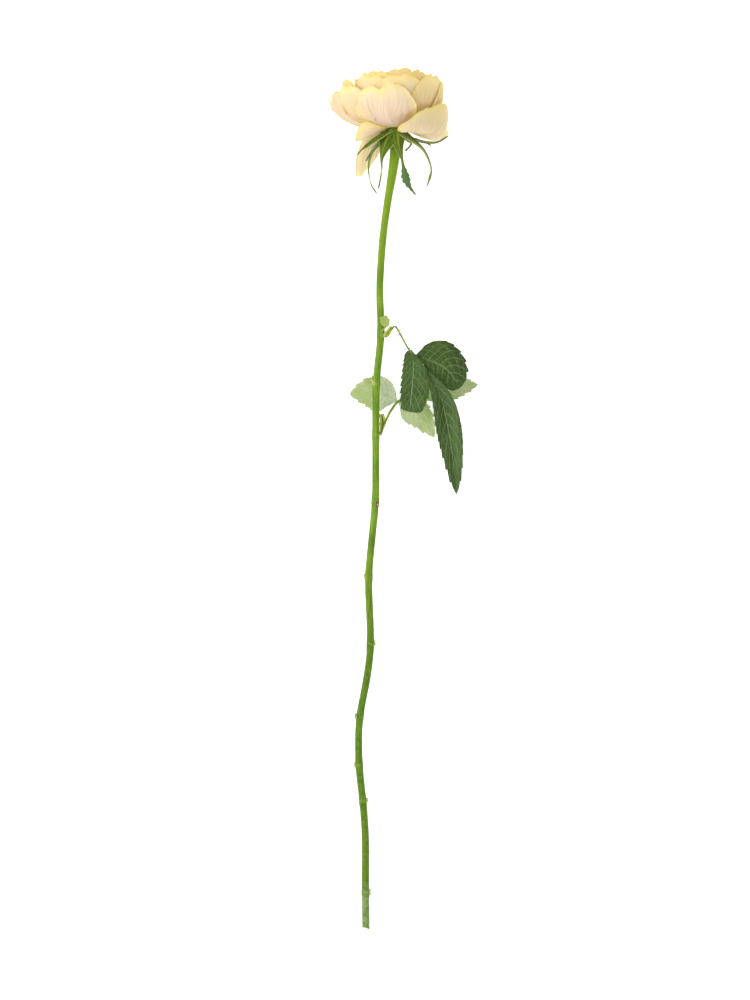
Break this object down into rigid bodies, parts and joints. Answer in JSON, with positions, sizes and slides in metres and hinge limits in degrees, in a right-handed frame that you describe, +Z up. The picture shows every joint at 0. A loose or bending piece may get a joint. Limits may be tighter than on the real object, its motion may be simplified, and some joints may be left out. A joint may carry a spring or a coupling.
{
  "type": "cut rose",
  "caption": "Full open garden rose on a long bare stem, lying down, with sepals bent back, cupped layers of petals and toothed leaves.",
  "frame": {"origin": "on the surface the rose lies on, under the middle of its bounding box", "axes": "+Y along the stem from the cut end to the bloom, +Z up from the surface, +X to the right seen from above with the bloom away"},
  "size_m": [0.1024, 0.6019, 0.0701],
  "materials": {
    "stem_green": "smooth green bark",
    "calyx_green": "matt, finely hairy",
    "petal_cream": "soft matt petal",
    "leaf_green": "satin leaf surface",
    "leaf_pale": "matt pale underside"
  },
  "bodies": {
    "root": {"stem": "stem_green", "calyx": "calyx_green", "bloom": "petal_cream", "upper_leaf": "leaf_green", "lower_leaf": "leaf_pale", "axil_leaf": "leaf_pale"}
  },
  "joints": []
}
